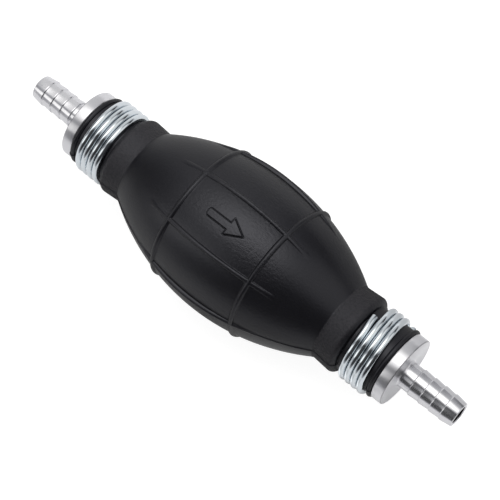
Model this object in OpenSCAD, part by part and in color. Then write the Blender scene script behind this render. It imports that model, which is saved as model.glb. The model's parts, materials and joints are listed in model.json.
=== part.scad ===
// Siphon bulb pump: a rubber squeeze bulb between two turned hose fittings, with a check valve in each.
// X runs along the pump in the direction of flow, Z points up through the flow arrow, and the origin is
// the middle of the bulb. Profiles of turned parts are drawn as [radius, distance along X].

/* [Bulb] */
// Largest radius of the barrel, between its ribs
bulb_r = 24.5; // [22:0.1:28]
// Radius of the arc that the barrel follows from end to end
bulb_arc_r = 73; // [66:0.5:84]
// Distance from the middle to the kink where the barrel meets its collar
bulb_half = 39.2; // [36:0.1:42]
// Thickness of the rubber in the barrel
bulb_wall = 2.8; // [2:0.1:3.6]

/* [Collar and neck] */
// Length of the flared collar outside each kink
collar_len = 6; // [5:0.1:9]
// Radius of the collar at its shoulder
collar_r = 13.5; // [12.8:0.1:15]
// Radius of the rounded edge of the shoulder
shoulder_round = 2; // [1:0.1:2.4]
// Radius of the neck where the wire clamp squeezes it
neck_r = 10.6; // [10.3:0.05:10.8]
// Bare neck left over beside the clamp
neck_slack = 0.69; // [0.6:0.01:2]
// Radius of the end bead's rounded section
bead_round = 0.8; // [0.5:0.05:0.9]
// Outer radius of the end bead
bead_r = 12.15; // [11.6:0.05:12.6]

/* [Ribs and arrow] */
// Distance of each ring rib from the middle
ring_x = 15.6; // [12:0.1:20]
// Radius of a ring rib's rounded section
ring_round = 0.85; // [0.75:0.05:1.2]
// Height of a ring rib above the barrel
ring_proud = 0.7; // [0.5:0.05:0.75]
// Number of long ribs round the barrel
rib_count = 8; // [6:2:12]
// Radius of a long rib's rounded section
rib_round = 0.6; // [0.5:0.05:0.9]
// Height of a long rib above the middle of the barrel
rib_proud = 0.45; // [0.3:0.05:0.5]
// Distance from the middle at which the long ribs sink into the barrel
rib_reach = 24.5; // [20:0.5:28]
// Overall length of the flow arrow
arrow_len = 13.9; // [11:0.1:16]
// Distance from the middle to the arrow's tip
arrow_tip_x = 6.7; // [5:0.1:8]
// Length of the arrow's head
arrow_head_len = 5.5; // [4:0.1:7]
// Width of the arrow's head
arrow_head_w = 5.8; // [4.5:0.1:7.5]
// Width of the arrow's shaft
arrow_shaft_w = 2.75; // [2:0.05:3.5]
// Height of the arrow above the barrel
arrow_proud = 0.5; // [0.3:0.05:0.7]

/* [Fitting] */
// Radius of the flange
flange_r = 11.6; // [10.8:0.1:12.6]
// Thickness of the flange
flange_t = 3.75; // [3:0.05:5]
// Radius of the small rounding on the flange's outer edges
flange_round = 0.4; // [0.2:0.05:0.8]
// Outer radius of the spigot inside the neck
spigot_r = 8.4; // [8.2:0.05:8.6]
// Number of ridges that grip the neck from inside
ridge_count = 3; // [2:1:4]
// Height of each grip ridge
ridge_h = 0.5; // [0.2:0.05:0.6]
// Length of each grip ridge's slope
ridge_len = 2.6; // [1.5:0.1:3]

/* [Hose barb] */
// Radius of the barb's crests, a push fit in the hose
barb_r = 4.6; // [4.55:0.05:5.2]
// How far each barb falls from its crest to its root
barb_drop = 0.27; // [0.1:0.01:0.4]
// Number of barbs
barb_count = 4; // [2:1:5]
// Distance from one barb to the next
barb_pitch = 3.83; // [3:0.01:4.5]
// Length of the flat land on each crest
barb_land = 0.45; // [0.3:0.05:0.8]
// Radius of the plain neck behind the barbs
barb_neck_r = 4.3; // [4.1:0.05:4.4]
// Length of the plain neck, from the flange to the first barb
barb_neck_len = 4.15; // [3:0.05:6]
// Radius of the fillet between the flange and the neck
barb_fillet = 0.7; // [0.4:0.1:1.2]
// Radius of the barb's end face
tip_r = 4.05; // [3.8:0.05:4.2]
// Distance from the last barb's crest to the tip
tip_len = 4.36; // [3:0.02:6]
// Radius of the passage through the barb
passage_r = 3.05; // [2.6:0.05:3.3]

/* [Check valve] */
// Radius of the bore in the spigot that holds the valve
chamber_r = 7; // [6.95:0.05:7.1]
// Radius of the throat through the valve seat
throat_r = 3.2; // [2.8:0.05:3.4]
// Length of the seat ring
seat_len = 4.2; // [4:0.1:5]
// Length of the conical face that the poppet closes on
cone_len = 2; // [1.8:0.05:2.2]
// Thickness of the O-ring round the seat ring
seat_seal_d = 1.3; // [1.1:0.05:1.4]
// Length of the cage, from the seat ring to its far face
cage_len = 10.3; // [10:0.1:12]
// Wall of the cage
cage_wall = 0.95; // [0.7:0.05:1.1]
// Thickness of the cage's end plate
cage_plate_t = 1.5; // [1:0.1:1.8]
// Number of windows in the end plate
window_count = 3; // [3:1:5]
// Width of the spoke between two windows, as an angle
spoke_angle = 28; // [20:1:34]
// Radius of the guide hub
hub_r = 2.4; // [2.1:0.05:2.6]
// Radius of the poppet's stem
stem_r = 1.25; // [1:0.05:1.5]
// Radius of the poppet's head
head_r = 4.8; // [4.6:0.05:5]
// Thickness of the poppet's head behind its seal
head_t = 1.5; // [1:0.1:1.8]
// Travel of the poppet from closed to fully open
travel = 2.5; // [1.5:0.1:2.6]
// Thickness of the poppet's O-ring
poppet_seal_d = 1.5; // [1.3:0.05:1.6]
// Thickness of the return spring's wire
spring_wire = 0.5; // [0.4:0.05:0.5]
// Radius of the return spring at the middle of its wire
spring_r = 3.4; // [3.3:0.05:3.6]
// Number of turns of the return spring
spring_turns = 6; // [5:0.5:6.5]
// Thickness of the retaining ring
ring_t = 1; // [0.8:0.05:1.1]
// Depth of the retaining ring's groove in the bore
groove_depth = 0.3; // [0.2:0.05:0.4]
// Land between the spigot's end and the groove
groove_land = 0.9; // [0.7:0.1:1.5]

/* [Wire clamp] */
// Thickness of the clamp's wire
clamp_wire = 2.2; // [1.9:0.05:2.4]
// Space between one turn and the next
clamp_turn_space = 0.04; // [0.02:0.01:0.1]
// Number of turns
clamp_turns = 3.8; // [3:0.05:4.2]
// Space between the outlet clamp and the bead
outlet_clamp_space = 0; // [0:0.01:0.4]
// Space between the inlet clamp and the bead
inlet_clamp_space = 0.62; // [0:0.01:0.65]
// Angle of the outlet clamp's end at the shoulder, from the top towards +Y
outlet_clamp_end = 33.5; // [-180:0.5:180]
// Angle of the inlet clamp's end at the bead, from the top towards +Y
inlet_clamp_end = 170; // [-180:0.5:180]
// How far the outlet clamp sits out of square, in degrees
outlet_clamp_askew = 1.4; // [0:0.1:1.8]
// How far the inlet clamp sits out of square, in degrees
inlet_clamp_askew = -2.1; // [-2.2:0.1:0]

/* [Clearances] */
// Gap left between pieces that are assembled face to face
seat_gap = 0.05; // [0.02:0.01:0.08]
// Clearance between the wire clamp and the neck, which also lets the clamp sit out of square
clamp_gap = 0.25; // [0.2:0.01:0.35]
// Running clearance between the poppet's stem and its guide
guide_gap = 0.06; // [0.02:0.01:0.09]
// Gap left between the poppet and the guide hub at the end of its travel
stop_gap = 0.1; // [0.05:0.01:0.2]

/* [Hidden] */
$fn = 72;
arc_fn = 360;
cut = 1;

// Distances along X, from the middle of the bulb to the tip of the barb
arc_centre = bulb_r - bulb_arc_r;
shoulder_x = bulb_half + collar_len;
neck_x = shoulder_x + shoulder_round;
clamp_pitch = clamp_wire + clamp_turn_space;
clamp_len = clamp_pitch * clamp_turns + clamp_wire;
bead_x = neck_x + clamp_len + neck_slack;
bulb_end = bead_x + 2 * bead_round;
flange_x = bulb_end + seat_gap;
barb_x = flange_x + flange_t;
first_crest_x = barb_x + barb_neck_len;
tip_x = first_crest_x + (barb_count - 1) * barb_pitch + tip_len;

// The centre line of each clamp's wire, and how far along X it reaches from where it starts
clamp_r = neck_r + clamp_gap + clamp_wire / 2;
clamp_step = 10;
clamp_sides = 10;
clamp_rings = round(clamp_turns * 360 / clamp_step);
function clamp_reach(first_angle, askew) = [
    for (i = [0:clamp_rings])
        clamp_pitch * i * clamp_step / 360 - clamp_r * sin(first_angle - i * clamp_step) * sin(askew)
];
outlet_clamp_reach = max(clamp_reach(outlet_clamp_end, outlet_clamp_askew));
inlet_clamp_reach = min(clamp_reach(inlet_clamp_end, inlet_clamp_askew));
outlet_clamp_x = bead_x - outlet_clamp_space - clamp_wire / 2 - outlet_clamp_reach;
inlet_clamp_x = inlet_clamp_space + clamp_wire / 2 - bead_x - inlet_clamp_reach;

// The valve, measured along the flow from the upstream face of its seat ring
valve_r = chamber_r - seat_gap;
valve_len = seat_len + cage_len;
cone_start = seat_len - cone_len;
seat_seal_s = seat_len / 3;
seal_overlap = 0.7;
poppet_seal_r = throat_r + seal_overlap;
poppet_seal_s = cone_start + seal_overlap + (poppet_seal_d / 2 + seat_gap) * sqrt(2);
nose_s = poppet_seal_s - poppet_seal_d / 2 - seat_gap;
head_s = poppet_seal_s + poppet_seal_d / 2 + seat_gap;
head_back_s = head_s + head_t;
boss_len = 1;
nose_len = 1.4;
nose_inset = 0.2;
stem_inset = 0.5;
hub_s = head_back_s + boss_len + travel + stop_gap;
plate_s = valve_len - cage_plate_t;
spring_side_gap = 0.3;
closed_pitch = 1.06 * spring_wire;
window_margin = 0.4;

// The bore that holds the valve, and the funnel that leads from it to the passage
funnel_len = 2.4;
funnel_r = chamber_r - 1.6;
flange_floor = 1.4;
groove_w = ring_t + 2 * seat_gap;
chamber_depth = groove_land + groove_w + valve_len + seat_gap;
chamber_end_x = barb_x - flange_floor - funnel_len;
spigot_x = chamber_end_x - chamber_depth;
bore_chamfer = 0.3;
ridge_lead = 0.6;
ridge_tail = 1.4;
outlet_valve_x = spigot_x + groove_land + groove_w;
inlet_valve_x = seat_gap - chamber_end_x;

// ---- Helpers ----

// A solid turned about the X axis from a profile of [radius, x]
module turned() {
    rotate([0, 90, 0]) rotate_extrude() children();
}

// A stretch of a turned profile: out to a radius, from one distance along X to another
module stretch(r, from, to) {
    translate([0, from]) square([r, to - from]);
}

// One section of a wound wire, standing at an angle from the top towards +Y
function wire_section(x, angle, r, wire, sides) = [
    for (k = [0:sides - 1])
        let (turn = 360 * k / sides, across = r + wire / 2 * cos(turn))
            [x + wire / 2 * sin(turn), across * sin(angle), across * cos(angle)]
];

// A round wire wound about the X axis as a right-hand thread runs, with its centre line at radius r.
// centres holds the X of each section, and step is the angle between sections.
module wound_wire(centres, first_angle, step, r, wire, sides) {
    rings = len(centres);
    points = [
        for (i = [0:rings - 1]) each wire_section(centres[i], first_angle - i * step, r, wire, sides)
    ];
    walls = [
        for (i = [0:rings - 2], k = [0:sides - 1])
            let (a = i * sides + k, b = i * sides + (k + 1) % sides)
                each [[a, b, a + sides], [b, b + sides, a + sides]]
    ];
    near_end = [for (k = [sides - 1:-1:0]) k];
    far_end = [for (k = [0:sides - 1]) (rings - 1) * sides + k];
    polyhedron(points = points, faces = concat(walls, [near_end, far_end]), convexity = 8);
}

// ---- Bulb ----

// Radius of the barrel at a distance from the middle
function barrel_r(x) = arc_centre + sqrt(bulb_arc_r * bulb_arc_r - x * x);

// The barrel's profile grown outward by a distance, or shrunk by a negative one, as far as reach
module barrel_profile(grow, reach) {
    intersection() {
        translate([arc_centre, 0]) circle(r = bulb_arc_r + grow, $fn = arc_fn);
        stretch(bulb_r + grow + cut, -reach, reach);
    }
}

// Collar, neck and bead at one end
module neck_profile() {
    kink_r = barrel_r(bulb_half);
    polygon([
        [0, bulb_half - cut], [kink_r, bulb_half - cut], [kink_r, bulb_half],
        [collar_r, shoulder_x], [0, shoulder_x]
    ]);
    stretch(collar_r - shoulder_round, shoulder_x, neck_x);
    translate([collar_r - shoulder_round, shoulder_x]) circle(r = shoulder_round);
    stretch(neck_r, shoulder_x, bulb_end);
    stretch(bead_r - bead_round, bead_x, bulb_end);
    translate([bead_r - bead_round, bead_x + bead_round]) circle(r = bead_round);
}

module bulb_outline() {
    barrel_profile(0, bulb_half);
    for (side = [0, 1]) mirror([0, side]) {
        neck_profile();
        translate([barrel_r(ring_x) + ring_proud - ring_round, ring_x]) circle(r = ring_round);
    }
}

// What the liquid and the two spigots take out of the rubber
module bulb_inside() {
    barrel_profile(-bulb_wall, spigot_x);
    for (side = [0, 1]) mirror([0, side]) {
        stretch(spigot_r + seat_gap, bulb_half, bulb_end + cut);
        spigot_outline(seat_gap);
    }
}

// A long rib follows an arc of its own that sinks into the barrel at rib_reach from the middle
module long_rib() {
    crest_drop = bulb_r + rib_proud - barrel_r(rib_reach);
    crest_arc_r = (rib_reach * rib_reach + crest_drop * crest_drop) / (2 * crest_drop);
    rib_arc_r = crest_arc_r - rib_round;
    half_angle = asin(rib_reach / rib_arc_r) + 1;
    translate([0, 0, bulb_r + rib_proud - crest_arc_r])
        rotate([90, 0, 0]) rotate([0, 0, 90 - half_angle])
            rotate_extrude(angle = 2 * half_angle, $fn = arc_fn)
                translate([rib_arc_r, 0]) circle(r = rib_round, $fn = 24);
}

module arrow_outline() {
    tail_x = arrow_tip_x - arrow_len;
    head_x = arrow_tip_x - arrow_head_len;
    corner = arrow_shaft_w / 4;
    polygon([[head_x, -arrow_head_w / 2], [arrow_tip_x, 0], [head_x, arrow_head_w / 2]]);
    translate([tail_x + corner, -arrow_shaft_w / 2]) square([head_x - tail_x, arrow_shaft_w]);
    translate([tail_x, corner - arrow_shaft_w / 2]) square([2 * corner, arrow_shaft_w - 2 * corner]);
    for (y = [-1, 1])
        translate([tail_x + corner, y * (arrow_shaft_w / 2 - corner)]) circle(r = corner, $fn = 32);
}

// The arrow stands out of the top of the barrel by the same height all over
module flow_arrow() {
    intersection() {
        linear_extrude(2 * bulb_r) arrow_outline();
        turned() difference() {
            barrel_profile(arrow_proud, bulb_half);
            barrel_profile(-bulb_wall / 2, bulb_half + cut);
        }
    }
}

module bulb() {
    color([0.06, 0.06, 0.065]) {
        difference() {
            union() {
                turned() bulb_outline();
                for (k = [0:rib_count - 1]) rotate([(k + 0.5) * 360 / rib_count, 0, 0]) long_rib();
            }
            turned() bulb_inside();
        }
        flow_arrow();
    }
}

// ---- Fitting: hose barb, flange and spigot, drawn at the outlet ----

module spigot_outline(grow = 0) {
    first_ridge_x = spigot_x + ridge_lead + ridge_len;
    last_ridge_x = flange_x - ridge_tail;
    crest = spigot_r + ridge_h + grow;
    stretch(spigot_r + grow, spigot_x, flange_x);
    for (k = [0:ridge_count - 1]) {
        ridge_x = first_ridge_x + k * (last_ridge_x - first_ridge_x) / (ridge_count - 1);
        polygon([
            [0, ridge_x - ridge_len], [spigot_r + grow, ridge_x - ridge_len],
            [crest, ridge_x], [crest, ridge_x + grow], [0, ridge_x + grow]
        ]);
    }
}

module flange_outline() {
    stretch(flange_r - flange_round, flange_x, barb_x);
    stretch(flange_r, flange_x + flange_round, barb_x - flange_round);
    for (x = [flange_x + flange_round, barb_x - flange_round])
        translate([flange_r - flange_round, x]) circle(r = flange_round);
}

module barb_outline() {
    stretch(barb_neck_r, barb_x, first_crest_x);
    difference() {
        stretch(barb_neck_r + barb_fillet, barb_x, barb_x + barb_fillet);
        translate([barb_neck_r + barb_fillet, barb_x + barb_fillet]) circle(r = barb_fillet);
    }
    for (k = [0:barb_count - 1]) {
        crest_x = first_crest_x + k * barb_pitch;
        last = k == barb_count - 1;
        end_x = last ? tip_x : crest_x + barb_pitch;
        end_r = last ? tip_r : barb_r - barb_drop;
        polygon([[0, crest_x], [barb_r, crest_x], [barb_r, crest_x + barb_land], [end_r, end_x], [0, end_x]]);
    }
}

// A conical stretch of a profile
module funnel(from_r, from, to_r, to) {
    polygon([[0, from], [from_r, from], [to_r, to], [0, to]]);
}

module fitting_bore() {
    stretch(chamber_r, spigot_x - cut, chamber_end_x);
    stretch(chamber_r + groove_depth, spigot_x + groove_land, spigot_x + groove_land + groove_w);
    funnel(chamber_r + bore_chamfer, spigot_x, chamber_r, spigot_x + bore_chamfer);
    funnel(funnel_r, chamber_end_x, passage_r, chamber_end_x + funnel_len);
    stretch(passage_r, chamber_end_x, tip_x + cut);
    funnel(passage_r, tip_x - bore_chamfer, passage_r + bore_chamfer, tip_x);
}

module fitting() {
    color([0.80, 0.80, 0.81]) turned() difference() {
        union() {
            spigot_outline();
            flange_outline();
            barb_outline();
        }
        fitting_bore();
    }
}

// ---- Wire clamp ----

module clamp(first_x, first_angle, askew) {
    centres = [for (i = [0:clamp_rings]) first_x + clamp_pitch * i * clamp_step / 360];
    middle = (centres[0] + centres[clamp_rings]) / 2;
    color([0.72, 0.76, 0.79])
        translate([middle, 0, 0]) rotate([0, 0, askew]) translate([-middle, 0, 0])
            wound_wire(centres, first_angle, clamp_step, clamp_r, clamp_wire, clamp_sides);
}

// ---- Check valve: each piece is drawn with the seat ring's upstream face at x = 0 ----

module o_ring(r, x, d) {
    color([0.07, 0.07, 0.07]) turned() translate([r, x]) circle(d = d, $fn = 32);
}

module valve_seat() {
    color([0.78, 0.62, 0.32]) turned() difference() {
        polygon([
            [throat_r, 0], [valve_r, 0], [valve_r, seat_len],
            [throat_r + cone_len, seat_len], [throat_r, cone_start]
        ]);
        translate([valve_r - seat_seal_d - seat_gap, seat_seal_s - seat_seal_d / 2 - seat_gap])
            square([seat_seal_d + seat_gap + cut, seat_seal_d + 2 * seat_gap]);
    }
}

module seat_seal() {
    o_ring(valve_r - seat_seal_d / 2, seat_seal_s, seat_seal_d);
}

module poppet() {
    nose_r = poppet_seal_r - nose_inset;
    groove_root = poppet_seal_r - poppet_seal_d / 2 - seat_gap;
    boss_r = spring_r - spring_wire / 2 - spring_side_gap;
    color([0.88, 0.88, 0.84]) turned() {
        funnel(nose_r - nose_len, nose_s - nose_len, nose_r, nose_s);
        stretch(groove_root, nose_s, head_s);
        stretch(head_r, head_s, head_back_s);
        stretch(boss_r, head_back_s, head_back_s + boss_len);
        stretch(stem_r, head_back_s, valve_len - stem_inset);
    }
}

module poppet_seal() {
    o_ring(poppet_seal_r, poppet_seal_s, poppet_seal_d);
}

// The spring's end turns lie closed, and its other turns share the rest of its height
module spring() {
    step = 20;
    sides = 8;
    first = head_back_s + seat_gap + spring_wire / 2;
    last = plate_s - seat_gap - spring_wire / 2;
    open_pitch = (last - first - 2 * closed_pitch) / (spring_turns - 2);
    rings = round(spring_turns * 360 / step);
    centres = [
        for (i = [0:rings])
            let (t = i * step / 360)
                first + closed_pitch * (min(t, 1) + max(t - spring_turns + 1, 0))
                + open_pitch * min(max(t - 1, 0), spring_turns - 2)
    ];
    color([0.75, 0.76, 0.78]) wound_wire(centres, 0, step, spring_r, spring_wire, sides);
}

module cage() {
    guide_r = stem_r + guide_gap;
    inner_r = valve_r - cage_wall;
    spring_seat_r = spring_r + spring_wire / 2 + spring_side_gap;
    window_angle = 360 / window_count - spoke_angle;
    color([0.90, 0.90, 0.86]) difference() {
        turned() difference() {
            union() {
                stretch(valve_r, plate_s, valve_len);
                stretch(hub_r, hub_s, plate_s);
                translate([inner_r, seat_len + seat_gap]) square([cage_wall, plate_s - seat_len - seat_gap]);
            }
            stretch(guide_r, hub_s - cut, valve_len + cut);
        }
        for (k = [0:window_count - 1])
            rotate([k * 360 / window_count, 0, 0]) rotate([0, 90, 0]) rotate_extrude(angle = window_angle)
                translate([spring_seat_r, plate_s - cut])
                    square([inner_r - window_margin - spring_seat_r, cage_plate_t + 2 * cut]);
    }
}

// The retaining ring, drawn in the outlet fitting's groove: an internal circlip with its gap at the
// bottom, a band that thins towards its lugs, and a plier hole in each lug
module retaining_ring() {
    ring_r = chamber_r + groove_depth - seat_gap;
    band_w = 1.5;
    band_shift = 0.4;
    lug_r = 1.35;
    lug_angle = 17;
    lug_at = ring_r - lug_r - 0.2;
    hole_r = 0.6;
    hole_shift = 0.3;
    gap_w = 1.7;
    color([0.30, 0.30, 0.32])
        translate([spigot_x + groove_land + seat_gap, 0, 0])
            rotate([90, 0, 90]) linear_extrude(ring_t) difference() {
                union() {
                    difference() {
                        circle(r = ring_r);
                        translate([0, -band_shift]) circle(r = ring_r - band_w);
                    }
                    for (side = [-1, 1])
                        rotate(side * lug_angle) translate([0, -lug_at]) circle(r = lug_r, $fn = 32);
                }
                translate([-gap_w / 2, -ring_r - cut]) square([gap_w, ring_r]);
                for (side = [-1, 1])
                    rotate(side * lug_angle) translate([side * hole_shift, -lug_at])
                        circle(r = hole_r, $fn = 32);
            }
}

// ---- The two ends: the valves face the same way along the flow, and the rest is mirrored ----

module at_inlet_end() { mirror([1, 0, 0]) children(); }
module in_inlet_valve() { translate([inlet_valve_x, 0, 0]) children(); }
module in_outlet_valve() { translate([outlet_valve_x, 0, 0]) children(); }

bulb();
at_inlet_end() fitting();  // inlet_fitting
clamp(inlet_clamp_x, inlet_clamp_end, inlet_clamp_askew);  // inlet_clamp
fitting();  // outlet_fitting
clamp(outlet_clamp_x, outlet_clamp_end, outlet_clamp_askew);  // outlet_clamp
in_inlet_valve() valve_seat();  // inlet_valve_seat
in_inlet_valve() seat_seal();  // inlet_seat_seal
in_inlet_valve() poppet();  // inlet_poppet
in_inlet_valve() poppet_seal();  // inlet_poppet_seal
in_inlet_valve() spring();  // inlet_spring
in_inlet_valve() cage();  // inlet_cage
at_inlet_end() retaining_ring();  // inlet_retaining_ring
in_outlet_valve() valve_seat();  // outlet_valve_seat
in_outlet_valve() seat_seal();  // outlet_seat_seal
in_outlet_valve() poppet();  // outlet_poppet
in_outlet_valve() poppet_seal();  // outlet_poppet_seal
in_outlet_valve() spring();  // outlet_spring
in_outlet_valve() cage();  // outlet_cage
retaining_ring();  // outlet_retaining_ring
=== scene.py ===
import json
import math

import bpy
import numpy as np
from mathutils import Matrix, Vector


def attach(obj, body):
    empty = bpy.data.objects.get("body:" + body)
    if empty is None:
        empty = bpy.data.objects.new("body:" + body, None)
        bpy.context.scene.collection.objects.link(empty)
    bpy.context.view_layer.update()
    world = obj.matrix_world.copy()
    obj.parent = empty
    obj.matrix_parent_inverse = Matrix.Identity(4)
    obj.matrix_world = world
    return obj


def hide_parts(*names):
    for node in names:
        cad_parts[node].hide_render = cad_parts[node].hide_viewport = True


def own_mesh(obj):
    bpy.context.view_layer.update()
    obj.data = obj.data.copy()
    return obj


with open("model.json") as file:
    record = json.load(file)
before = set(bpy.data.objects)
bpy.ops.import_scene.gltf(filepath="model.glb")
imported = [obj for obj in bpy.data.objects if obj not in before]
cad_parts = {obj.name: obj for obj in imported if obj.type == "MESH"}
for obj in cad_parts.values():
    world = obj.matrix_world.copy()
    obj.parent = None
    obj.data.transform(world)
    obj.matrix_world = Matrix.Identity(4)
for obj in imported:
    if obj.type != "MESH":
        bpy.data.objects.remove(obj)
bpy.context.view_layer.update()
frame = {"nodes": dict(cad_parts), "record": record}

MM = 0.001

# ---------------------------------------------------------------- sizes in mm, mostly as in the source
# Barrel: an arc turned about the pump's axis, which is X; +Z is up and the liquid flows towards +X
BULB_R = 24.5
ARC_R = 73.0
ARC_CENTRE = BULB_R - ARC_R
WALL = 2.8
KINK_X = 39.2                   # where the barrel meets the collar
BARREL_END = KINK_X - 0.9       # and where it starts to bend into it

# Collar, neck and end bead
SHOULDER_X = 45.2
SHOULDER_ROUND = 2.0
COLLAR_R = 13.5
NECK_X = SHOULDER_X + SHOULDER_ROUND
FREE_NECK_R = 11.4              # the rubber swells out to this wherever no wire squeezes it
BEAD_X = 58.602
BEAD_ROUND = 0.8
BEAD_R = 12.15
BULB_END = BEAD_X + 2 * BEAD_ROUND

# Ribs, the mould's parting line and the arrow; angles are from +Z towards +Y
RING_X = 15.6
RING_ROUND = 0.85
RING_PROUD = 0.7
RIB_HALF = 0.8
RIB_PROUD = 1.0
RIB_REACH = 24.5
RIB_ANGLES = [22.5 + 45 * k for k in range(-4, 4)]
SEAM_ANGLES = [-67.5, 112.5]
SEAM_HALF = 0.17
SEAM_PROUD = 0.28
ARROW_Y = 0.22
ARROW_PROUD = 0.5

# Fittings: spigot inside the neck, flange, barb, and the bore through them
SEAT_GAP = 0.05
FLANGE_X = BULB_END + SEAT_GAP
FLANGE_R = 11.6
FLANGE_ROUND = 0.38
BARB_X = FLANGE_X + 3.75
BARB_NECK_R = 4.3
BARB_FILLET = 0.7
BARB_R = 4.6
BARB_COUNT = 4
BARB_PITCH = 3.83
CREST_X = BARB_X + 4.15         # the first of the crests
TIP_X = CREST_X + (BARB_COUNT - 1) * BARB_PITCH + 4.36
TIP_R = 4.05
PASSAGE_R = 3.05
CHAMBER_R = 7.0
CHAMBER_END_X = BULB_END
FUNNEL_R = CHAMBER_R - 1.6
FUNNEL_LEN = 2.4
BORE_CHAMFER = 0.3
SPIGOT_X = CHAMBER_END_X - 16.55
SPIGOT_R = 8.4
FITTING_SIDES = 192
RIDGE_COUNT = 3
RIDGE_H = 0.5
RIDGE_LEN = 2.6
RIDGE_LEAD = 0.6
RIDGE_TAIL = 1.4
GROOVE_LAND = 0.9
GROOVE_END = 2.0
GROOVE_DEPTH = 0.3

# Valves: their upstream ends, and their springs along the flow from there
OUTLET_VALVE_X = SPIGOT_X + GROOVE_END
INLET_VALVE_X = SEAT_GAP - CHAMBER_END_X
SPRING_FROM = 6.381
SPRING_TO = 12.95
SPRING_WIRE = 0.5
SPRING_R = 3.4
SPRING_TURNS = 6.0

# Wire clamps: x and angle of the end they are wound from, degrees out of square, distance from turn to
# turn, and how far the start of the first turn is bent aside
CLAMP_R = 11.95
CLAMP_WIRE = 2.2
CLAMP_TURNS = 3.8
CLAMP_SAG = 0.40                # how far the turns bow towards -X at the pump's sides
OUTLET_CLAMP = dict(x=49.06, end=33.5, askew=1.7, pitch=2.275, splay=0.3)
INLET_CLAMP = dict(x=-57.19, end=170.0, askew=-1.6, pitch=2.32, splay=0.0)


# ---------------------------------------------------------------- profiles and numbers
def barrel_r(x, inset=0.0):
    """Radius of the plain barrel at a distance from the middle, or of its hollow, inset by the wall."""
    return ARC_CENTRE + np.sqrt((ARC_R - inset) ** 2 - np.square(x))


KINK_R = barrel_r(KINK_X)


def turned_points(x, r, angles):
    """Points of profile stations (x, r) at angles measured from +Z towards +Y."""
    a = np.radians(angles)
    x, r = x[:, None], r[:, None]
    return np.stack([x * np.ones_like(a), r * np.sin(a), r * np.cos(a)], axis=-1).reshape(-1, 3)


def arc(cx, cr, radius, start, stop, count):
    """Profile points on a circle round (cx, cr); angle 0 points along +x and 90 outward."""
    a = np.radians(np.linspace(start, stop, count))
    return [(cx + radius * math.cos(t), cr + radius * math.sin(t)) for t in a]


def line(start, stop, step):
    """Profile points on a straight line, at most a step apart."""
    count = max(2, int(math.ceil(math.dist(start, stop) / step)) + 1)
    return [tuple(p) for p in np.linspace(start, stop, count)]


def chain(*pieces):
    """One profile out of several, with repeated points left out."""
    points = []
    for piece in pieces:
        for p in piece:
            if not points or math.dist(points[-1], p) > 1e-4:
                points.append(p)
    return points


def marched(start, stop, coarse, fine, spots):
    """Numbers from start to stop, close together within each (centre, reach) of spots."""
    widening = 0.35
    values = [start]
    while values[-1] < stop:
        v = values[-1]
        away = min(max(0.0, abs(v - centre) - reach) for centre, reach in spots)
        values.append(v + min(coarse, fine + widening * away))
    values = np.array(values)
    return start + (values - start) * (stop - start) / (values[-1] - start)


def angle_between(angles, centre):
    """Angles in degrees from centre, the short way round."""
    return (angles - centre + 180) % 360 - 180


def smooth_max(a, b, width):
    """The larger of a and b, with a soft corner of about this width where they cross."""
    share = np.clip(0.5 + 0.5 * (a - b) / width, 0, 1)
    return b + (a - b) * share + width * share * (1 - share)


def smoothstep(t):
    """0 up to 0 and 1 from 1 on, with a soft start and end between."""
    t = np.clip(t, 0, 1)
    return t * t * (3 - 2 * t)


# ---------------------------------------------------------------- meshes
def ring_faces(rows, columns, loop_rows):
    """Quads of a grid whose columns close round the axis, and whose rows close too if loop_rows."""
    last = rows if loop_rows else rows - 1
    i = np.arange(last)[:, None]
    j = np.arange(columns)[None, :]
    a = i * columns + j
    b = i * columns + (j + 1) % columns
    c = ((i + 1) % rows) * columns + (j + 1) % columns
    d = ((i + 1) % rows) * columns + j
    return np.stack([a, b, c, d], axis=-1).reshape(-1, 4)


def place_piece(name, mesh, body, slot, replaces):
    """A smooth object with its material, riding on a body and standing for a CAD node."""
    mesh.polygons.foreach_set("use_smooth", np.full(len(mesh.polygons), True))
    mesh.materials.append(MATERIALS[slot])
    obj = bpy.data.objects.new(name, mesh)
    bpy.context.scene.collection.objects.link(obj)
    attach(obj, body)
    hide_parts(replaces)
    return obj


def grid_piece(name, points, quads, body, slot, replaces):
    """A piece from points in mm and an array of quads."""
    mesh = bpy.data.meshes.new(name)
    mesh.vertices.add(len(points))
    mesh.vertices.foreach_set("co", (points * MM).ravel())
    mesh.loops.add(quads.size)
    mesh.loops.foreach_set("vertex_index", quads.astype(np.int32).ravel())
    mesh.polygons.add(len(quads))
    mesh.polygons.foreach_set("loop_start", np.arange(0, quads.size, 4, dtype=np.int32))
    mesh.update(calc_edges=True)
    mesh.validate()
    return place_piece(name, mesh, body, slot, replaces)


def sharpen(obj, degrees):
    """Keeps edges sharper than an angle crisp under smooth shading."""
    mesh = obj.data
    normals = np.empty(len(mesh.polygons) * 3)
    mesh.polygons.foreach_get("normal", normals)
    normals = normals.reshape(-1, 3)
    first, second = {}, {}
    for polygon in mesh.polygons:
        for key in polygon.edge_keys:
            (second if key in first else first)[key] = polygon.index
    limit = math.cos(math.radians(degrees))
    flags = np.zeros(len(mesh.edges), dtype=bool)
    for edge in mesh.edges:
        key = edge.key
        if key in second:
            flags[edge.index] = float(normals[first[key]] @ normals[second[key]]) < limit
    attribute = mesh.attributes.new("sharp_edge", "BOOLEAN", "EDGE")
    attribute.data.foreach_set("value", flags)


# ---------------------------------------------------------------- the bulb, and the wire round its necks
def wire_x(clamp, turn):
    """X of the wire's centre line after so many turns from the end that the clamp is given by."""
    angle = np.radians(clamp["end"] - 360 * turn)
    lean = -CLAMP_R * np.sin(angle) * math.sin(math.radians(clamp["askew"]))
    return clamp["x"] + clamp["pitch"] * turn + lean - CLAMP_SAG * np.sin(angle) ** 2


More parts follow.
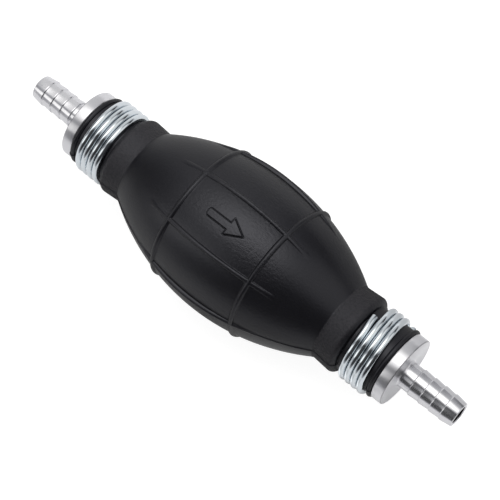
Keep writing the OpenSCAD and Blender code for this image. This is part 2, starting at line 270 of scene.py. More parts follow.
def neck_squeeze(x, angles, clamp):
    """How far the free neck's surface is pushed in under the wire, at stations x and angles."""
    wider, deeper = 0.03, 0.02      # the groove, than the wire
    radius = CLAMP_WIRE / 2 + wider
    surface = np.full((len(x), len(angles)), FREE_NECK_R)
    for k in range(-2, 6):
        turn = (clamp["end"] - angles) / 360 + k
        held = np.clip(turn, 0, CLAMP_TURNS)
        along = (turn - held) * 2 * math.pi * CLAMP_R
        across = x[:, None] - wire_x(clamp, held)[None, :]
        near = across ** 2 + (along ** 2)[None, :]
        under = CLAMP_R - np.sqrt(np.maximum(radius ** 2 - near, 0)) - deeper
        limit = np.where(near < radius ** 2, under, FREE_NECK_R + 1)
        surface = np.minimum(surface, limit)
    return surface - FREE_NECK_R


def arrow_distance(x, y):
    """Signed distance in mm to the flow arrow's outline, below zero inside."""
    y = np.abs(y - ARROW_Y)
    tail, neck, tip = -6.8, 1.2, 6.7
    half, corner, head = 1.2, 0.75, 2.97
    shaft_end = neck + 1
    past_end = np.abs(x - (tail + shaft_end) / 2) - (shaft_end - tail) / 2 + corner
    past_side = y - half + corner
    shaft = np.hypot(np.maximum(past_end, 0), np.maximum(past_side, 0)) - corner
    shaft += np.minimum(np.maximum(past_end, past_side), 0)
    head_len = tip - neck
    side = ((x - neck) * head + (y - head) * head_len) / math.hypot(head_len, head)
    flat = np.maximum(side, neck - x)
    corner_gap = np.hypot(x - neck, y - head)
    point_gap = np.hypot(x - tip, y)
    beyond_corner = (x < neck) & (y > head)
    beyond_tip = ((x - tip) * head_len - y * head) > 0
    head_part = np.where(beyond_corner, corner_gap, np.where(beyond_tip & (side > 0), point_gap, flat))
    return np.minimum(shaft, head_part)


def ring_relief(x):
    """Height of the two ring ribs."""
    soft_foot = 0.12
    u = np.abs(x) - RING_X
    ring = np.sqrt(np.maximum(RING_ROUND ** 2 - u ** 2, 0)) - RING_ROUND + RING_PROUD
    ring = np.where(np.abs(u) < RING_ROUND, ring, -1.0)
    return smooth_max(ring, np.zeros_like(ring), soft_foot)


def rib_height(x):
    """Height of a long rib's crest, an arc of its own that sinks into the barrel at RIB_REACH."""
    crest_top = BULB_R + RIB_PROUD
    drop = crest_top - barrel_r(RIB_REACH)
    crest_r = (RIB_REACH ** 2 + drop ** 2) / (2 * drop)
    inside = np.clip(np.abs(x), 0, RIB_REACH + 3)
    crest = crest_top - crest_r + np.sqrt(crest_r ** 2 - inside ** 2)
    return crest - barrel_r(inside)


def barrel_relief(x, angles):
    """Height in mm of ribs and arrow over the plain barrel."""
    roundness, rib_foot = 2.2, 0.02
    mm_per_degree = math.radians(1) * barrel_r(x)
    relief = ring_relief(x)[:, None] * np.ones_like(angles)[None, :]
    height = rib_height(x)
    for rib in RIB_ANGLES:
        v = mm_per_degree[:, None] * angle_between(angles, rib)[None, :]
        section = np.sqrt(np.maximum(1 - np.abs(v / RIB_HALF) ** roundness, 0))
        relief = smooth_max(section * height[:, None], relief, rib_foot)
    y = mm_per_degree[:, None] * angles[None, :]
    outline = arrow_distance(x[:, None] * np.ones_like(y), y)
    # The arrow rises inside a fine groove that runs along its outline
    edge_at, edge_wide = 0.12, 0.26
    groove_at, groove_half, groove_deep = 0.10, 0.17, 0.21
    relief = relief + ARROW_PROUD * smoothstep(0.5 - (outline + edge_at) / edge_wide)
    return relief - groove_deep * np.exp(-((outline - groove_at) / groove_half) ** 2)


def seam_relief(x, radius, angles):
    """The thin line that the two halves of the mould leave along the bulb, trimmed along the long ribs."""
    relief = np.zeros((len(radius), len(angles)))
    for seam in SEAM_ANGLES:
        away = np.radians(angle_between(angles, seam))
        relief += SEAM_PROUD * np.exp(-(radius[:, None] * away[None, :] / SEAM_HALF) ** 2)
    trimmed = np.where(np.abs(x) < RIB_REACH - 3, 0.4, 1.0)
    return relief * trimmed[:, None]


def slackness(x, angles):
    """A soft part is never quite round: the mould's halves leave it a little full and slack in places."""
    a = np.radians(angles)
    slack = 0.05 * np.sin(2 * a + 0.6)[None, :] * np.cos(x / 21)[:, None]
    slack += 0.03 * np.sin(3 * a[None, :] + x[:, None] / 13)
    fading = np.clip((KINK_X - np.abs(x)) / 12, 0, 1)
    return (slack - 0.08) * fading[:, None]


def spigot_profile(grow):
    """The spigot's outside from its inner end to the flange, with its grip ridges."""
    plain_r = SPIGOT_R + grow
    points = [(SPIGOT_X, plain_r)]
    first = SPIGOT_X + RIDGE_LEN + RIDGE_LEAD
    last = FLANGE_X - RIDGE_TAIL
    for x in np.linspace(first, last, RIDGE_COUNT):
        points += [(x - RIDGE_LEN, plain_r), (x, plain_r + RIDGE_H), (x + 0.05, plain_r)]
    return points + [(FLANGE_X, plain_r)]


def bulb_outside():
    """The bulb's outside as a profile, from the middle to the face at its end."""
    ring_rib, arrow, arrow_tip = (RING_X, 1.0), (0.0, 6.6), (7.0, 0.9)      # centre and reach
    barrel_x = marched(0.0, BARREL_END, coarse=0.95, fine=0.11, spots=[ring_rib, arrow, arrow_tip])
    barrel = [(x, barrel_r(x)) for x in barrel_x]
    barrel_end_r = barrel[-1][1]
    # The barrel's skin dips at the kink, and comes up again on the slope of the collar
    crease = [(KINK_X - 0.35, barrel_end_r - 0.27), (KINK_X + 0.25, KINK_R + 0.02),
              (KINK_X + 0.9, KINK_R + 0.063)]
    collar = line((KINK_X + 1.2, KINK_R + 0.084), (SHOULDER_X, COLLAR_R), 0.6)
    shoulder = arc(SHOULDER_X, COLLAR_R - SHOULDER_ROUND, SHOULDER_ROUND, 90, 4, 14)
    neck = line((NECK_X + 0.05, FREE_NECK_R), (BEAD_X, FREE_NECK_R), 0.11)
    bead_centre_r = BEAD_R - BEAD_ROUND
    bead = arc(BEAD_X + BEAD_ROUND, bead_centre_r, BEAD_ROUND, 172, 0, 17)
    face = line((BULB_END, bead_centre_r - 0.2), (BULB_END, SPIGOT_R + 0.3), 1.0)
    return chain(barrel, crease, collar, shoulder, neck, bead, face)


def bulb_inside():
    """And its inside, from that face to the middle: the pocket for the spigot, then the hollow."""
    pocket = [(min(x, BULB_END - 0.05), r) for x, r in reversed(spigot_profile(SEAT_GAP))]
    hollow_x = np.linspace(SPIGOT_X - 0.02, 0, 26)
    hollow = [(x, barrel_r(x, WALL)) for x in hollow_x]
    return chain(pocket, hollow)


def build_bulb():
    """Outside and inside are one closed profile, turned, with its relief raised from the outside."""
    outer_half = bulb_outside()
    inner_half = bulb_inside()
    outer = np.array([(-x, r) for x, r in reversed(outer_half[1:])] + outer_half)
    inner = np.array(inner_half + [(-x, r) for x, r in reversed(inner_half[:-1])])
    arrow_half, rib_half, rib_edge = 8.2, 1.87, 0.35        # in degrees
    spots = [(0.0, arrow_half)]
    spots += [(rib + side * rib_half, rib_edge) for rib in RIB_ANGLES for side in (-1, 1)]
    angles = marched(-180.0, 180.0, coarse=2.2, fine=0.13, spots=spots)[:-1]

    tangent = np.gradient(outer, axis=0)
    tangent /= np.linalg.norm(tangent, axis=1)[:, None]
    normal_x, normal_r = -tangent[:, 1], tangent[:, 0]
    x, r = outer[:, 0], outer[:, 1]
    relief = seam_relief(x, r, angles)
    on_barrel = np.abs(x) < BARREL_END
    relief[on_barrel] += barrel_relief(x[on_barrel], angles)
    seam_left = 0.3     # the squeeze flattens the parting line
    on_neck = (np.abs(x) > NECK_X) & (np.abs(x) < BEAD_X) & (np.abs(r - FREE_NECK_R) < 1e-6)
    for side, clamp in ((-1, INLET_CLAMP), (1, OUTLET_CLAMP)):
        here = on_neck & (np.sign(x) == side)
        relief[here] = seam_left * relief[here] + neck_squeeze(x[here], angles, clamp)
    relief[on_barrel] += slackness(x[on_barrel], angles)

    a = np.radians(angles)
    raised_x = x[:, None] + normal_x[:, None] * relief
    raised_r = r[:, None] + normal_r[:, None] * relief
    outside = np.stack([raised_x, raised_r * np.sin(a), raised_r * np.cos(a)], axis=-1)
    inside = turned_points(inner[:, 0], inner[:, 1], angles)
    rows = len(outer) + len(inner)
    points = np.concatenate([outside.reshape(-1, 3), inside])
    quads = ring_faces(rows, len(angles), loop_rows=True)[:, ::-1]
    grid_piece("bulb_skin", points, quads, "housing", "bulb_rubber", "bulb")


# ---------------------------------------------------------------- fittings
def barb_profile():
    """From the flange to the barb's end face; each barb rises steeply and falls off towards the tip."""
    crown = 0.42
    points = arc(BARB_X + BARB_FILLET, BARB_NECK_R + BARB_FILLET, BARB_FILLET, 180, 270, 8)
    for k in range(BARB_COUNT):
        crest = CREST_X + k * BARB_PITCH
        drop = 0.32 if k == 0 else 0.27
        rise = 180 - math.degrees(math.asin((crown - drop) / crown))
        points += [(crest - 0.05, BARB_R - drop)]
        points += arc(crest + crown, BARB_R - crown, crown, rise, 90, 9)
        if k < BARB_COUNT - 1:
            points += [(crest + 0.56, BARB_R - 0.012), (crest + 0.70, BARB_R - 0.038)]
            points += [(crest + BARB_PITCH - 0.4, BARB_R - 0.255)]
    tip_round = 0.25
    points += [(crest + 0.52, BARB_R - 0.01), (crest + 0.66, BARB_R - 0.03)]
    return points + arc(TIP_X - tip_round, TIP_R - 0.22, tip_round, 82, 0, 7)


def fitting_profile():
    """Closed profile of the outlet's fitting, sampled closely on its edges."""
    edge_r = FLANGE_R - FLANGE_ROUND
    flange = arc(FLANGE_X + FLANGE_ROUND, edge_r, FLANGE_ROUND, 180, 90, 7)
    flange += arc(BARB_X - FLANGE_ROUND, edge_r, FLANGE_ROUND, 90, 0, 7)
    mouth = [(TIP_X, PASSAGE_R + 0.33), (TIP_X - 0.04, PASSAGE_R + 0.28), (TIP_X - BORE_CHAMFER, PASSAGE_R)]
    funnel = [(CHAMBER_END_X + FUNNEL_LEN, PASSAGE_R), (CHAMBER_END_X, FUNNEL_R), (CHAMBER_END_X, CHAMBER_R)]
    groove_near, groove_far = SPIGOT_X + GROOVE_LAND, SPIGOT_X + GROOVE_END
    groove_r = CHAMBER_R + GROOVE_DEPTH
    groove = [(groove_far, CHAMBER_R), (groove_far, groove_r), (groove_near, groove_r),
              (groove_near, CHAMBER_R)]
    end = [(SPIGOT_X + BORE_CHAMFER, CHAMBER_R), (SPIGOT_X, CHAMBER_R + BORE_CHAMFER)]
    return chain(spigot_profile(0.0), flange, barb_profile(), mouth, funnel, groove, end)


def build_fitting(end, side):
    """The fitting of one end; side is -1 for the inlet's, which is the outlet's mirrored."""
    profile = np.array(fitting_profile())
    angles = np.linspace(-180, 180, FITTING_SIDES, endpoint=False)
    points = turned_points(profile[:, 0] * side, profile[:, 1], angles)
    quads = ring_faces(len(profile), len(angles), loop_rows=True)
    if side > 0:
        quads = quads[:, ::-1]
    obj = grid_piece(end + "_fitting_turned", points, quads, "housing", "turned_aluminium", end + "_fitting")
    sharpen(obj, degrees=28)


# ---------------------------------------------------------------- wires: clamps and springs
def swept(centres, outward, radius, sides, end_round):
    """A round wire along centres, as points and faces; outward says which way is away from the axis."""
    along = np.gradient(centres, axis=0)
    along /= np.linalg.norm(along, axis=1)[:, None]
    out = outward - (outward * along).sum(1)[:, None] * along
    out /= np.linalg.norm(out, axis=1)[:, None]
    side = np.cross(along, out)
    turn = np.radians(np.arange(sides) * 360 / sides)
    ring = np.cos(turn)[None, :, None] * out[:, None, :] + np.sin(turn)[None, :, None] * side[:, None, :]
    cut_r = radius - end_round
    inset = 0.6 * end_round
    rows = [centres[0] + cut_r * ring[0], centres[0] + along[0] * inset + radius * ring[0]]
    rows += [centre + radius * around for centre, around in zip(centres[1:-1], ring[1:-1])]
    rows += [centres[-1] - along[-1] * inset + radius * ring[-1], centres[-1] + cut_r * ring[-1]]
    points = np.concatenate([centres[:1]] + rows + [centres[-1:]])
    walls = ring_faces(len(rows), sides, loop_rows=False) + 1
    j = np.arange(sides)
    following = (j + 1) % sides
    base = 1 + (len(rows) - 1) * sides
    near = np.stack([0 * j, 1 + following, 1 + j], axis=-1)
    far = np.stack([0 * j + len(points) - 1, base + j, base + following], axis=-1)
    return points, walls.tolist() + near.tolist() + far.tolist()


def wound_piece(name, x, r, angle, wire, sides, end_round, slot, replaces):
    """A wire wound about the axis, through stations at x, radius r and an angle from +Z towards +Y."""
    outward = np.stack([0 * x, np.sin(angle), np.cos(angle)], axis=-1)
    centres = np.stack([x, r * np.sin(angle), r * np.cos(angle)], axis=-1)
    points, faces = swept(centres, outward, wire / 2, sides, end_round)
    mesh = bpy.data.meshes.new(name)
    mesh.from_pydata((points * MM).tolist(), [], faces)
    mesh.update()
    obj = place_piece(name, mesh, "housing", slot, replaces)
    sharpen(obj, degrees=50)
    return obj


def build_clamp(end, clamp):
    """A wire wound in close turns; its start is bent aside over the first part of a turn."""
    turns = np.linspace(0, CLAMP_TURNS, 380)
    splayed_turns = 0.09
    x = wire_x(clamp, turns) - clamp["splay"] * smoothstep(1 - turns / splayed_turns)
    # Wound by hand over rubber, so the turns wander a little
    r = CLAMP_R + 0.035 * np.sin(7.3 * turns + 0.7) + 0.02 * np.sin(17.1 * turns)
    angle = np.radians(clamp["end"] - 360 * turns)
    wound_piece(end + "_clamp_wire", x, r, angle, CLAMP_WIRE, sides=28, end_round=0.07,
                slot="zinc_wire", replaces=end + "_clamp")


def build_spring(end, valve_x):
    """A spring with one closed turn at each end."""
    turns = np.linspace(0, SPRING_TURNS, 300)
    first = SPRING_FROM + SPRING_WIRE / 2
    last = SPRING_TO - SPRING_WIRE / 2
    closed_pitch = SPRING_WIRE * 1.06
    open_turns = SPRING_TURNS - 2
    open_pitch = (last - first - 2 * closed_pitch) / open_turns
    x = first + closed_pitch * (np.minimum(turns, 1) + np.maximum(turns - SPRING_TURNS + 1, 0))
    x += open_pitch * np.minimum(np.maximum(turns - 1, 0), open_turns)
    angle = np.radians(-360 * turns)
    obj = wound_piece(end + "_spring_coil", x + valve_x, SPRING_R, angle, SPRING_WIRE, sides=12,
                      end_round=0.03, slot="spring_wire", replaces=end + "_spring")
    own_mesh(obj)


# ---------------------------------------------------------------- node trees
class Tree:
    """Short calls for building a node tree. A value is a number, a colour or another node's output."""

    def __init__(self, tree):
        self.tree = tree

    def add(self, kind, **properties):
        node = self.tree.nodes.new(kind)
        for key, value in properties.items():
            setattr(node, key, value)
        return node

    def link(self, source, target):
        if isinstance(source, (int, float, tuple)):
            target.default_value = source
        else:
            self.tree.links.new(source, target)

    def math(self, operation, *values):
        node = self.add("ShaderNodeMath", operation=operation)
        for socket, value in zip(node.inputs, values):
            self.link(value, socket)
        return node.outputs[0]

    def joined(self, operation, *values):
        """Any number of values, joined two by two."""
        whole = values[0]
        for value in values[1:]:
            whole = self.math(operation, whole, value)
        return whole

    def length(self, a, b):
        return self.math("SQRT", self.math("ADD", self.math("MULTIPLY", a, a), self.math("MULTIPLY", b, b)))

    def ramp(self, value, low, high, to_low, to_high, course="SMOOTHSTEP"):
        """to_low up to low and to_high from high on."""
        node = self.add("ShaderNodeMapRange", interpolation_type=course)
        names = ("Value", "From Min", "From Max", "To Min", "To Max")
        for name, source in zip(names, (value, low, high, to_low, to_high)):
            self.link(source, node.inputs[name])
        return node.outputs["Result"]

    def split(self, vector):
        node = self.add("ShaderNodeSeparateXYZ")
        self.link(vector, node.inputs[0])
        return node.outputs

    def mixed(self, factor, a, b):
        """Colour a where factor is 0 and b where it is 1."""
        node = self.add("ShaderNodeMix", data_type="RGBA")
        for name, source in zip(("Factor", "A", "B"), (factor, a, b)):
            self.link(source, node.inputs[name])
        return node.outputs["Result"]

    def rays(self, *kinds):
        """1 for rays of any of these kinds, 0 for all others."""
        path = self.add("ShaderNodeLightPath")
        return self.joined("MAXIMUM", *[path.outputs[kind] for kind in kinds])


class Surface(Tree):
    """A material's tree, with short calls for its principled shader."""

    def __init__(self, name, colour, **values):
        self.material = bpy.data.materials.new(name)
        self.material.use_nodes = True
        self.material.diffuse_color = (*colour, 1)
        super().__init__(self.material.node_tree)
        self.shader = self.tree.nodes["Principled BSDF"]
        self.set("Base Color", (*colour, 1))
        for key, value in values.items():
            self.set(key.replace("_", " "), value)
        self.place = self.add("ShaderNodeTexCoord").outputs["Object"]
        self.x, self.y, self.z = self.split(self.place)

    def set(self, name, value):
        self.link(value, self.shader.inputs[name])

    def noise(self, scale, detail=2.0, roughness=0.5, vector=None):
        node = self.add("ShaderNodeTexNoise")
        self.link(vector or self.place, node.inputs["Vector"])
        for name, source in zip(("Scale", "Detail", "Roughness"), (scale, detail, roughness)):
            self.link(source, node.inputs[name])
        return node.outputs["Fac"]

    def colours(self, value, dark, light):
        self.set("Base Color", self.mixed(value, (*dark, 1), (*light, 1)))

    def bump(self, height, distance, after=None):
        node = self.add("ShaderNodeBump")
        self.link(1.0, node.inputs["Strength"])
        self.link(distance, node.inputs["Distance"])
        self.link(height, node.inputs["Height"])
        if after is not None:
            self.link(after, node.inputs["Normal"])
        self.set("Normal", node.outputs[0])
        return node.outputs[0]


# ---------------------------------------------------------------- materials
def rubber_material():
    n = Surface("bulb_rubber", (0.006, 0.006, 0.007), Roughness=0.34, Specular_Tint=(0.90, 0.91, 1.0, 1))
    out = n.math("ABSOLUTE", n.x)
    on_collar = n.math("MULTIPLY", n.ramp(out, (KINK_X - 0.4) * MM, (KINK_X + 0.2) * MM, 0, 1),
                       n.ramp(out, (SHOULDER_X - 0.2) * MM, (NECK_X - 0.2) * MM, 1, 0))
    cloud = n.noise(60, detail=3, roughness=0.55)
    grain = n.noise(1400, detail=3, roughness=0.6)
    speckle = n.math("MULTIPLY", on_collar, n.ramp(grain, 0.30, 0.70, 0.3, 1.1))
    n.colours(n.math("ADD", n.math("MULTIPLY", cloud, 0.3), speckle),
              (0.0042, 0.0042, 0.0056), (0.0150, 0.0142, 0.0160))
    # Rough rubber mirrors less than plain gloss when it is seen edge on, and is duller towards the outlet
    facing = n.add("ShaderNodeLayerWeight").outputs["Facing"]
    gloss = n.math("MULTIPLY", n.ramp(facing, 0.0, 0.85, 0.46, 0.04), n.ramp(n.x, 0.010, 0.030, 1.0, 0.78))
    n.set("Specular IOR Level", gloss)
    rough = n.math("ADD", n.math("MULTIPLY", cloud, 0.12), 0.27)
    n.set("Roughness", n.math("ADD", rough, n.math("MULTIPLY", on_collar, 0.20)))
    # Orange peel all over, and faint skin wrinkles that come and go on the barrel
    stretched = n.add("ShaderNodeMapping")
    n.link(n.place, stretched.inputs["Vector"])
    n.link((0.7, 1.2, 1.2), stretched.inputs["Scale"])
    wrinkle = n.noise(1100, detail=3, roughness=0.65, vector=stretched.outputs[0])
    patches = n.ramp(n.noise(38, detail=1), 0.40, 0.62, 0.35, 1.0)
    on_top = n.ramp(n.z, 0.014, 0.023, 0.25, 1.0)
    skin = n.bump(n.math("MULTIPLY", wrinkle, n.math("MULTIPLY", patches, on_top)), 0.00014)
    peel = n.math("MULTIPLY", grain, n.math("ADD", n.math("MULTIPLY", on_collar, 5.0), 0.7))
    n.bump(peel, 0.00004, after=skin)
    return n.material


def metal_material(name, colour, rough, lathe, streak, polished_x=1.0, metallic=1.0, spread=0.0):
    """Bright metal with rings from the lathe, as deep as lathe in metres, and cloudy gloss. Beyond
    polished_x from the middle it is smoother."""
    n = Surface(name, colour, Metallic=metallic, Roughness=rough,
                Anisotropic=spread, Anisotropic_Rotation=0.25)
    n.set("Tangent", n.add("ShaderNodeTangent", direction_type="RADIAL", axis="X").outputs[0])
    out = n.math("ABSOLUTE", n.x)
    radius = n.length(n.y, n.z)
    rings = n.add("ShaderNodeCombineXYZ")
    n.link(n.x, rings.inputs[0])
    n.link(radius, rings.inputs[1])
    marks = n.noise(streak, roughness=0.7, vector=rings.outputs[0])
    cloud = n.noise(160, detail=3, roughness=0.6)
    polish = n.ramp(out, polished_x, polished_x + 0.0006, 1.0, 0.55)
    blur = n.math("MULTIPLY_ADD", cloud, 0.4 * rough, 0.8 * rough)
    n.set("Roughness", n.math("MULTIPLY", blur, polish))
    # Painted shade: the colour is darkened inside the drilled passage, where shade falls, and along the
    # flange's broken edge as a thin darker line
    from_edge = n.length(n.math("SUBTRACT", out, BARB_X * MM), n.math("SUBTRACT", radius, FLANGE_R * MM))
    passage_painted_shade = n.ramp(radius, (PASSAGE_R + 0.01) * MM, (PASSAGE_R + 0.15) * MM, 0.16, 1.0)
    painted_shade = n.math("MULTIPLY", passage_painted_shade, n.ramp(from_edge, 0.00020, 0.00036, 0.55, 1.0))
    shade = n.math("MULTIPLY", n.math("MULTIPLY_ADD", cloud, 0.06, 0.94), painted_shade)
    n.colours(shade, (0.0, 0.0, 0.0), colour)
    n.bump(n.math("MULTIPLY", marks, polish), lathe)
    return n.material


def plain_material(name, colour, rough, grain_scale, grain, metallic=0.0):
    """One colour with a fine grain, as deep as grain in metres."""
    n = Surface(name, colour, Metallic=metallic, Roughness=rough)
    cloud = n.noise(grain_scale, detail=3, roughness=0.6)
    n.colours(cloud, [c * 0.88 for c in colour], colour)
    n.set("Roughness", n.math("ADD", n.math("MULTIPLY", cloud, 0.12), rough - 0.06))
    n.bump(cloud, grain)
    return n.material


METALS = {
    "turned_aluminium": dict(colour=(0.66, 0.66, 0.685), rough=0.30, lathe=0.000001, streak=2600,
                             polished_x=(BARB_X + 0.8) * MM, metallic=0.94, spread=0.9),
    "zinc_wire": dict(colour=(0.64, 0.685, 0.72), rough=0.08, lathe=0.000002, streak=3200),
    "seat_brass": dict(colour=(0.78, 0.58, 0.28), rough=0.22, lathe=0.000005, streak=2600),
}
PLAIN = {
    "seal_rubber": dict(colour=(0.012, 0.012, 0.012), rough=0.42, grain_scale=900, grain=0.00001),
    "acetal": dict(colour=(0.72, 0.72, 0.68), rough=0.38, grain_scale=500, grain=0.00001),
    "spring_wire": dict(colour=(0.62, 0.63, 0.65), rough=0.22, grain_scale=700, grain=0.000003, metallic=1.0),
    "ring_steel": dict(colour=(0.10, 0.10, 0.105), rough=0.42, grain_scale=900, grain=0.000006, metallic=1.0),
}
MATERIALS = {"bulb_rubber": rubber_material()}
for name, look in METALS.items():
    MATERIALS[name] = metal_material(name, **look)
for name, look in PLAIN.items():
    MATERIALS[name] = plain_material(name, **look)

# ---------------------------------------------------------------- build the pump, and finish the CAD nodes
build_bulb()
build_fitting("inlet", -1)
build_fitting("outlet", 1)
build_clamp("inlet", INLET_CLAMP)
build_clamp("outlet", OUTLET_CLAMP)
build_spring("inlet", INLET_VALVE_X)
build_spring("outlet", OUTLET_VALVE_X)

SLOT_OF = {subpart["node"]: subpart["material_slot"] for subpart in frame["record"]["subparts"]}
for node, obj in frame["nodes"].items():
    for material_slot in obj.material_slots:
        material_slot.material = MATERIALS[SLOT_OF[node]]

# ---------------------------------------------------------------- floor, world and lamp, in metres
FLOOR_Z = -BULB_R * MM
FLOOR_HALF = 3.0
FLOOR_SEEN = 0.90       # what the floor shows the camera by itself; lamplight brings it to white
FLOOR_MIRRORED = 0.12   # and what it shows in the metal, over its own lit colour
FLOOR_PAINTED_GLOW = 0.70        # and that close by the bulb, a painted glow that stands in for light the lamp doesn't bring


def floor_material():
    """Pale and lit, and white to the camera with the pump's soft shadow kept. In the metal it shows a painted
    shadow beside the pump and a painted glow close by the bulb.
    """
    material = bpy.data.materials.new("studio_floor")
    material.use_nodes = True
    n = Tree(material.node_tree)
    n.tree.nodes.clear()
    x, y, z = n.split(n.add("ShaderNodeNewGeometry").outputs["Position"])

    def glowing(colour, strength):
        lit = n.add("ShaderNodeBsdfDiffuse")
        n.link((*colour, 1), lit.inputs["Color"])
        own = n.add("ShaderNodeEmission")
        n.link(strength, own.inputs["Strength"])
        both = n.add("ShaderNodeAddShader")
        n.link(lit.outputs[0], both.inputs[0])
        n.link(own.outputs[0], both.inputs[1])
        return both.outputs[0]

    def choose(where, otherwise, chosen):
        mix = n.add("ShaderNodeMixShader")
        for socket, source in zip(mix.inputs, (where, otherwise, chosen)):
            n.link(source, socket)
        return mix.outputs[0]

    def edge(place, low, high):
        """0 on the floor up to low and 1 from high on."""
        return n.ramp(place, low, high, 0, 1, "LINEAR")

    # Painted shadow: beside the pump, the floor seen in the metal's reflections loses its own glow and shows
    # darker
    painted_shadow_zone = n.joined("MAXIMUM", edge(x, 0.056, 0.046), edge(y, 0.012, 0.035))
    painted_shadow_zone = n.joined("MULTIPLY", painted_shadow_zone, edge(x, -0.03, 0.04))
    # Painted light: close by the bulb, the floor seen in the reflections glows, standing in for light the
    # lamp doesn't bring
    painted_glow_zone = n.joined("MULTIPLY", edge(x, 0.002, 0.024), edge(x, 0.050, 0.041),
                         edge(y, -0.010, -0.020), edge(y, -0.068, -0.050))
    grey = (0.62, 0.62, 0.63)
    mirrored = glowing((0.78, 0.78, 0.79), FLOOR_MIRRORED)
    mirrored = choose(painted_shadow_zone, mirrored, glowing(grey, 0.0))
    mirrored = choose(painted_glow_zone, mirrored, glowing(grey, FLOOR_PAINTED_GLOW))
    plain = glowing((0.80, 0.80, 0.80), 0.0)
    seen = glowing((0.26, 0.26, 0.26), FLOOR_SEEN)
    shader = choose(n.rays("Is Glossy Ray"), plain, mirrored)
    shader = choose(n.rays("Is Camera Ray", "Is Transmission Ray"), shader, seen)
    n.link(shader, n.add("ShaderNodeOutputMaterial").inputs["Surface"])
    return material


def build_floor():
    half = FLOOR_HALF
    corners = [(-half, -half, FLOOR_Z), (half, -half, FLOOR_Z), (half, half, FLOOR_Z), (-half, half, FLOOR_Z)]
    mesh = bpy.data.meshes.new("studio_floor")
    mesh.from_pydata(corners, [], [(0, 1, 2, 3)])
    mesh.materials.append(floor_material())
    floor = bpy.data.objects.new("studio_floor", mesh)
    bpy.context.scene.collection.objects.link(floor)


def build_world():
    """A studio seen from the pump, as directions: x along the pump, from -1 to 1, and an angle round it in
    degrees from straight up towards +Y. A wide soft window runs overhead, with a darker room over -Y and a
    paler one over +Y, and a narrow strip light stands in the dark towards -X."""
    world = bpy.data.worlds.new("studio")
    bpy.context.scene.world = world
    world.use_nodes = True
    n = Tree(world.node_tree)
    ramp = n.ramp
    studio_turn = 0.7
    x, y, z = n.split(n.add("ShaderNodeTexCoord").outputs["Generated"])
    angle = n.math("SUBTRACT", n.math("DEGREES", n.math("ARCTAN2", y, z)), studio_turn)

    # How bright each part of the room is along x, and then the parts one after another round the pump
    dark_corner = ramp(x, -0.70, -0.48, 0.75, ramp(x, -0.45, -0.15, 0.42, 0.05))
    dark_gap = ramp(x, -0.85, -0.62, 0.60, ramp(x, -0.60, -0.10, 0.45, 0.06))
    window = ramp(x, 0.0, 0.36, ramp(x, -0.75, -0.10, 0.70, 3.20), 0.95)
    pale_room = ramp(x, 0.15, 0.52, ramp(x, -0.45, 0.15, 0.86, 0.43), 1.03)
    pale_corner = ramp(x, -0.40, 0.32, 0.86, 0.05)
    level = ramp(angle, -97, -75, 0.70, dark_corner)
    level = ramp(angle, -58, -42, level, dark_gap)
    window_from, window_full = ramp(x, -0.30, -0.12, -28, -15.5), ramp(x, -0.30, -0.12, -3, 12.5)
    level = ramp(angle, window_from, window_full, level, window)
    level = n.math("MULTIPLY", level, ramp(x, -0.98, -0.66, 0.20, 1.0))
    level = ramp(angle, 16, 50, level, pale_room)
    level = ramp(angle, ramp(x, 0.3, 0.7, 54, 74), ramp(x, 0.3, 0.7, 76, 94), level, pale_corner)
    ends = n.math("MULTIPLY", ramp(x, -0.98, -0.72, 0.40, 1.0), ramp(x, 0.86, 0.97, 1.0, 0.12))
    level = n.math("MULTIPLY", level, ends)

    # The strip light leans: its angle changes with x
    strip_lean, strip_middle = 32.0, -31.5
    strip_angle = n.math("MULTIPLY_ADD", x, strip_lean, strip_middle)
    off_strip = n.math("ABSOLUTE", n.math("SUBTRACT", angle, strip_angle))
    reach = n.math("MULTIPLY", ramp(x, -0.88, -0.64, 0.15, 1.0), ramp(x, -0.40, 0.12, 1.0, 0.0))
    strip = n.math("MULTIPLY", ramp(off_strip, 9, 18, 1.12, 0.0), reach)
    level = n.math("ADD", level, strip)

    # Bright parts are a little warm and dark ones a little cool, and the camera sees plain white
    tint = n.mixed(ramp(level, 0.3, 1.2, 0.0, 1.0), (0.95, 0.96, 1.0, 1), (1.0, 0.99, 0.965, 1))
    seen = n.rays("Is Camera Ray", "Is Transmission Ray")
    background = n.tree.nodes["Background"]
    n.link(n.mixed(seen, tint, (1, 1, 1, 1)), background.inputs["Color"])
    n.link(ramp(seen, 0.0, 1.0, level, 1.0), background.inputs["Strength"])


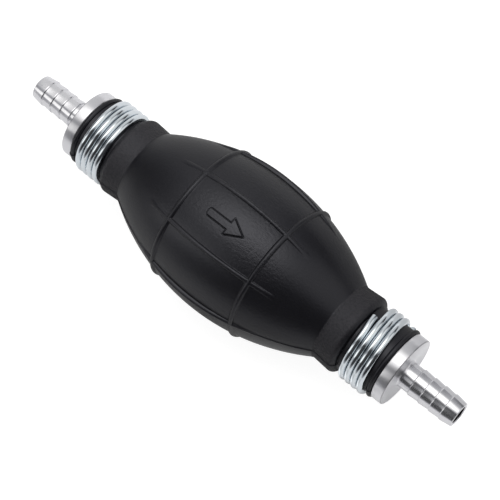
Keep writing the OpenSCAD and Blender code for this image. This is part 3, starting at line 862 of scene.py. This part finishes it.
def build_softbox(angle, distance, length, width, radiance):
    """A lamp panel along the pump, at an angle from straight up towards +Y, that gives the shadows a side."""
    lamp = bpy.data.lights.new("key_softbox", "AREA")
    lamp.shape = "RECTANGLE"
    lamp.size = length
    lamp.size_y = width
    lamp.energy = radiance * math.pi * width * length
    obj = bpy.data.objects.new("key_softbox", lamp)
    bpy.context.scene.collection.objects.link(obj)
    turn = math.radians(angle)
    back = Vector((0, math.sin(turn), math.cos(turn)))
    side = Vector((1, 0, 0))
    axes = Matrix((side, back.cross(side), back)).transposed()
    obj.matrix_world = Matrix.Translation(back * distance) @ axes.to_4x4()
    # The metal mirrors the soft window of the world instead of this panel's hard edges
    obj.visible_glossy = False
    obj.visible_camera = False


build_floor()
build_world()
build_softbox(angle=20, distance=1.1, length=1.3, width=0.6, radiance=2.0)

# ---------------------------------------------------------------- camera, as the photograph sees the pump
ROLL = math.radians(38.20)
TILT = math.radians(16.60)
LEAN = math.radians(3.6)
FOCAL_PX = 1783.0
FRAME_PX = 500.0
ORIGIN_PX = (241.1, 243.7)
DISTANCE = 0.5401


def build_camera():
    """Camera axes are x right, y down and z away; the pump's axes are written in them."""
    cos_roll, sin_roll = math.cos(ROLL), math.sin(ROLL)
    along = Vector((math.cos(TILT) * cos_roll, math.cos(TILT) * sin_roll, -math.sin(TILT)))
    sideways = Vector((-sin_roll, cos_roll, 0))
    inward = along.cross(sideways)
    up = -math.cos(LEAN) * inward - math.sin(LEAN) * sideways
    side = -math.cos(LEAN) * sideways + math.sin(LEAN) * inward
    model = Matrix((along, side, up))
    right_px, down_px = (place - FRAME_PX / 2 for place in ORIGIN_PX)
    origin = Vector((right_px / FOCAL_PX, down_px / FOCAL_PX, 1)) * DISTANCE
    right = model @ Vector((1, 0, 0))
    top = model @ Vector((0, -1, 0))
    back = model @ Vector((0, 0, -1))
    camera = bpy.data.cameras.new("photo_camera")
    camera.sensor_width = 36.0
    camera.lens = FOCAL_PX * camera.sensor_width / FRAME_PX
    camera.clip_start = 0.01
    camera.clip_end = 20
    obj = bpy.data.objects.new("photo_camera", camera)
    bpy.context.scene.collection.objects.link(obj)
    axes = Matrix((right, top, back)).transposed()
    obj.matrix_world = Matrix.Translation(-(model @ origin)) @ axes.to_4x4()
    bpy.context.scene.camera = obj


build_camera()
bpy.context.scene.view_settings.view_transform = "Standard"
